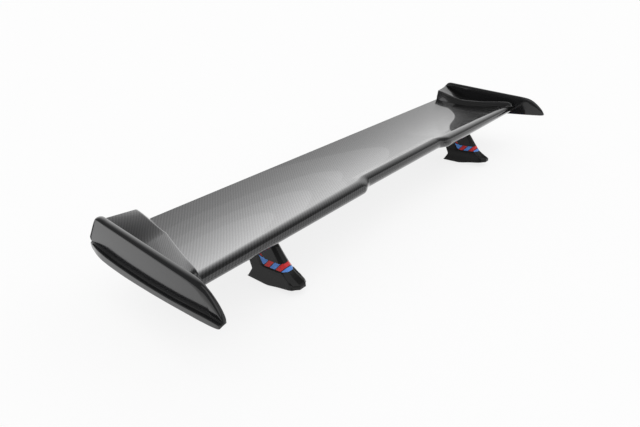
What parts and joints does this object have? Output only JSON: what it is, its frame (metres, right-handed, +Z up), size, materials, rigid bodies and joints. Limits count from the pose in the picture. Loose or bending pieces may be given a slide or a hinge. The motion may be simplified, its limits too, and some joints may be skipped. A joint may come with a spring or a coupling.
{
  "type": "racing rear wing",
  "caption": "Wide carbon rear wing with end plates on pillar stands that bolt to a boot lid; the wing turns on pivots in the stands to set its angle.",
  "frame": {"origin": "middle of the wing's box in plan, at the foot of the stands", "axes": "+X along the span, -Y towards the leading edge, +Z up"},
  "size_m": [1.273, 0.3592, 0.1753],
  "materials": {
    "carbon": "gloss",
    "gloss_black": "gloss",
    "satin_black": "satin",
    "alloy": "satin",
    "steel": "satin",
    "bronze": "satin",
    "rubber": "matte"
  },
  "bodies": {
    "stands": {"stand_shell_left": "satin_black", "foot_gasket_left": "rubber", "foot_plate_left": "alloy", "threaded_insert_front_left": "steel", "threaded_insert_rear_left": "steel", "upright_left": "alloy", "pivot_screw_left": "steel", "angle_screw_left": "steel", "foot_screw_front_left": "steel", "foot_screw_rear_left": "steel", "stand_shell_right": "satin_black", "foot_gasket_right": "rubber", "foot_plate_right": "alloy", "threaded_insert_front_right": "steel", "threaded_insert_rear_right": "steel", "upright_right": "alloy", "pivot_screw_right": "steel", "angle_screw_right": "steel", "foot_screw_front_right": "steel", "foot_screw_rear_right": "steel"},
    "wing": {"blade_upper_skin": "carbon", "blade_lower_skin": "carbon", "front_spar": "carbon", "rear_spar": "carbon", "centre_rib": "carbon", "end_plate_left": "gloss_black", "end_rib_left": "carbon", "dowel_front_left": "steel", "dowel_rear_left": "steel", "end_fairing_left": "carbon", "hard_point_left": "alloy", "pivot_bush_left": "bronze", "spar_screw_inner_left": "steel", "spar_screw_outer_left": "steel", "end_plate_right": "gloss_black", "end_rib_right": "carbon", "dowel_front_right": "steel", "dowel_rear_right": "steel", "end_fairing_right": "carbon", "hard_point_right": "alloy", "pivot_bush_right": "bronze", "spar_screw_inner_right": "steel", "spar_screw_outer_right": "steel"}
  },
  "joints": [
    {"name": "wing_angle", "type": "hinge", "parent": "stands", "child": "wing", "pos_m": [0, -0.0121, 0.094], "axis": [1, 0, 0], "range_deg": [0, 10]}
  ]
}
